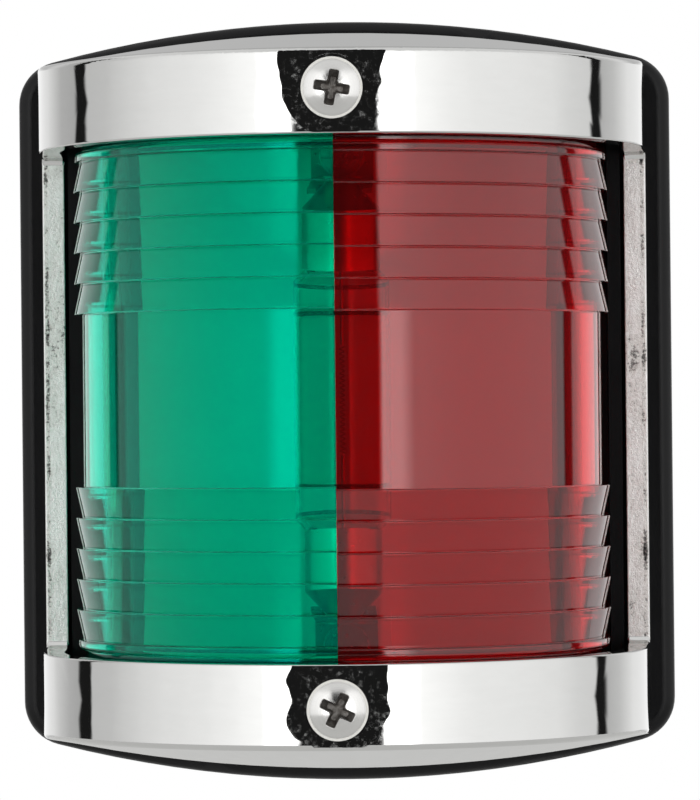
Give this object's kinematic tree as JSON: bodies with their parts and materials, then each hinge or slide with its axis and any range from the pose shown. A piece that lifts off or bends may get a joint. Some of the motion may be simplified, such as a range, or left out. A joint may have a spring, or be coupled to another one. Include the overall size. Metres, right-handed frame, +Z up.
{
  "type": "navigation light",
  "caption": "Bulkhead bicolour navigation light: black arched base, polished steel cover with a wide window, ribbed green and red lens halves and a festoon bulb inside.",
  "frame": {"origin": "middle of the rear mounting face, on the bulkhead", "axes": "+Z up the bulkhead, -Y out of the front, +Y into the bulkhead, +X to the right as seen from the front (the red side)"},
  "size_m": [0.073, 0.0546, 0.085],
  "materials": {
    "base_plastic": "black, finely textured",
    "polished_steel": "cast stainless steel, mirror polished",
    "green_glass": "clear green moulding, glossy",
    "red_glass": "clear red moulding, glossy",
    "screw_steel": "bright stainless steel",
    "washer_nylon": "natural nylon",
    "insert_brass": "machined brass",
    "seal_rubber": "soft black rubber",
    "carrier_plastic": "off-white moulding",
    "contact_metal": "nickel-plated brass strip",
    "cap_metal": "nickel-plated bulb cap",
    "clear_glass": "clear bulb glass",
    "tungsten": "drawn wire"
  },
  "bodies": {
    "base": {"mounting_gasket": "seal_rubber", "base_plate": "base_plastic", "cable_grommet": "seal_rubber", "lens_seal": "seal_rubber", "bulb_carrier": "carrier_plastic", "upper_thread_insert": "insert_brass", "lower_thread_insert": "insert_brass", "upper_bulb_contact": "contact_metal", "lower_bulb_contact": "contact_metal"},
    "cover": {"cover": "polished_steel"},
    "lens": {"green_lens": "green_glass", "red_lens": "red_glass"},
    "bulb": {"bulb_glass": "clear_glass", "bulb_filament": "tungsten", "bulb_support_wires": "tungsten", "upper_bulb_cap": "cap_metal", "lower_bulb_cap": "cap_metal"},
    "upper_screw_washer": {"upper_screw_washer": "washer_nylon"},
    "upper_cover_screw": {"upper_cover_screw": "screw_steel"},
    "upper_terminal_washer": {"upper_terminal_washer": "contact_metal"},
    "upper_terminal_screw": {"upper_terminal_screw": "screw_steel"},
    "lower_screw_washer": {"lower_screw_washer": "washer_nylon"},
    "lower_cover_screw": {"lower_cover_screw": "screw_steel"},
    "lower_terminal_washer": {"lower_terminal_washer": "contact_metal"},
    "lower_terminal_screw": {"lower_terminal_screw": "screw_steel"}
  },
  "joints": [
    {"name": "cover_lift", "type": "slide", "parent": "base", "child": "cover", "axis": [0, -1, 0], "range_m": [0, 0.12]},
    {"name": "lens_lift", "type": "slide", "parent": "base", "child": "lens", "axis": [0, -1, 0], "range_m": [0, 0.06]},
    {"name": "bulb_pull", "type": "slide", "parent": "base", "child": "bulb", "axis": [0, -1, 0], "range_m": [0, 0.024]},
    {"name": "upper_cover_screw_draw", "type": "slide", "parent": "cover", "child": "upper_screw_washer", "axis": [0, -1, 0], "range_m": [0, 0.009]},
    {"name": "upper_cover_screw_turn", "type": "hinge", "parent": "upper_screw_washer", "child": "upper_cover_screw", "pos_m": [0, -0.0534, 0.03195], "axis": [0, -1, 0], "range_deg": [0, 5400]},
    {"name": "upper_terminal_screw_draw", "type": "slide", "parent": "base", "child": "upper_terminal_washer", "axis": [0, -1, 0], "range_m": [0, 0.003]},
    {"name": "upper_terminal_screw_turn", "type": "hinge", "parent": "upper_terminal_washer", "child": "upper_terminal_screw", "pos_m": [0, -0.01, 0.0228], "axis": [0, -1, 0], "range_deg": [0, 2160]},
    {"name": "lower_cover_screw_draw", "type": "slide", "parent": "cover", "child": "lower_screw_washer", "axis": [0, -1, 0], "range_m": [0, 0.009]},
    {"name": "lower_cover_screw_turn", "type": "hinge", "parent": "lower_screw_washer", "child": "lower_cover_screw", "pos_m": [0, -0.0534, -0.03195], "axis": [0, -1, 0], "range_deg": [0, 5400]},
    {"name": "lower_terminal_screw_draw", "type": "slide", "parent": "base", "child": "lower_terminal_washer", "axis": [0, -1, 0], "range_m": [0, 0.003]},
    {"name": "lower_terminal_screw_turn", "type": "hinge", "parent": "lower_terminal_washer", "child": "lower_terminal_screw", "pos_m": [0, -0.01, -0.0228], "axis": [0, -1, 0], "range_deg": [0, 2160]}
  ],
  "couplings": [
    {"joint": "lens_lift", "follows": "cover_lift", "ratio": 0.5},
    {"joint": "bulb_pull", "follows": "cover_lift", "ratio": 0.2},
    {"joint": "upper_cover_screw_turn", "follows": "upper_cover_screw_draw", "rad_per_m": 10472},
    {"joint": "upper_terminal_screw_turn", "follows": "upper_terminal_screw_draw", "rad_per_m": 12566},
    {"joint": "lower_cover_screw_turn", "follows": "lower_cover_screw_draw", "rad_per_m": 10472},
    {"joint": "lower_terminal_screw_turn", "follows": "lower_terminal_screw_draw", "rad_per_m": 12566}
  ]
}
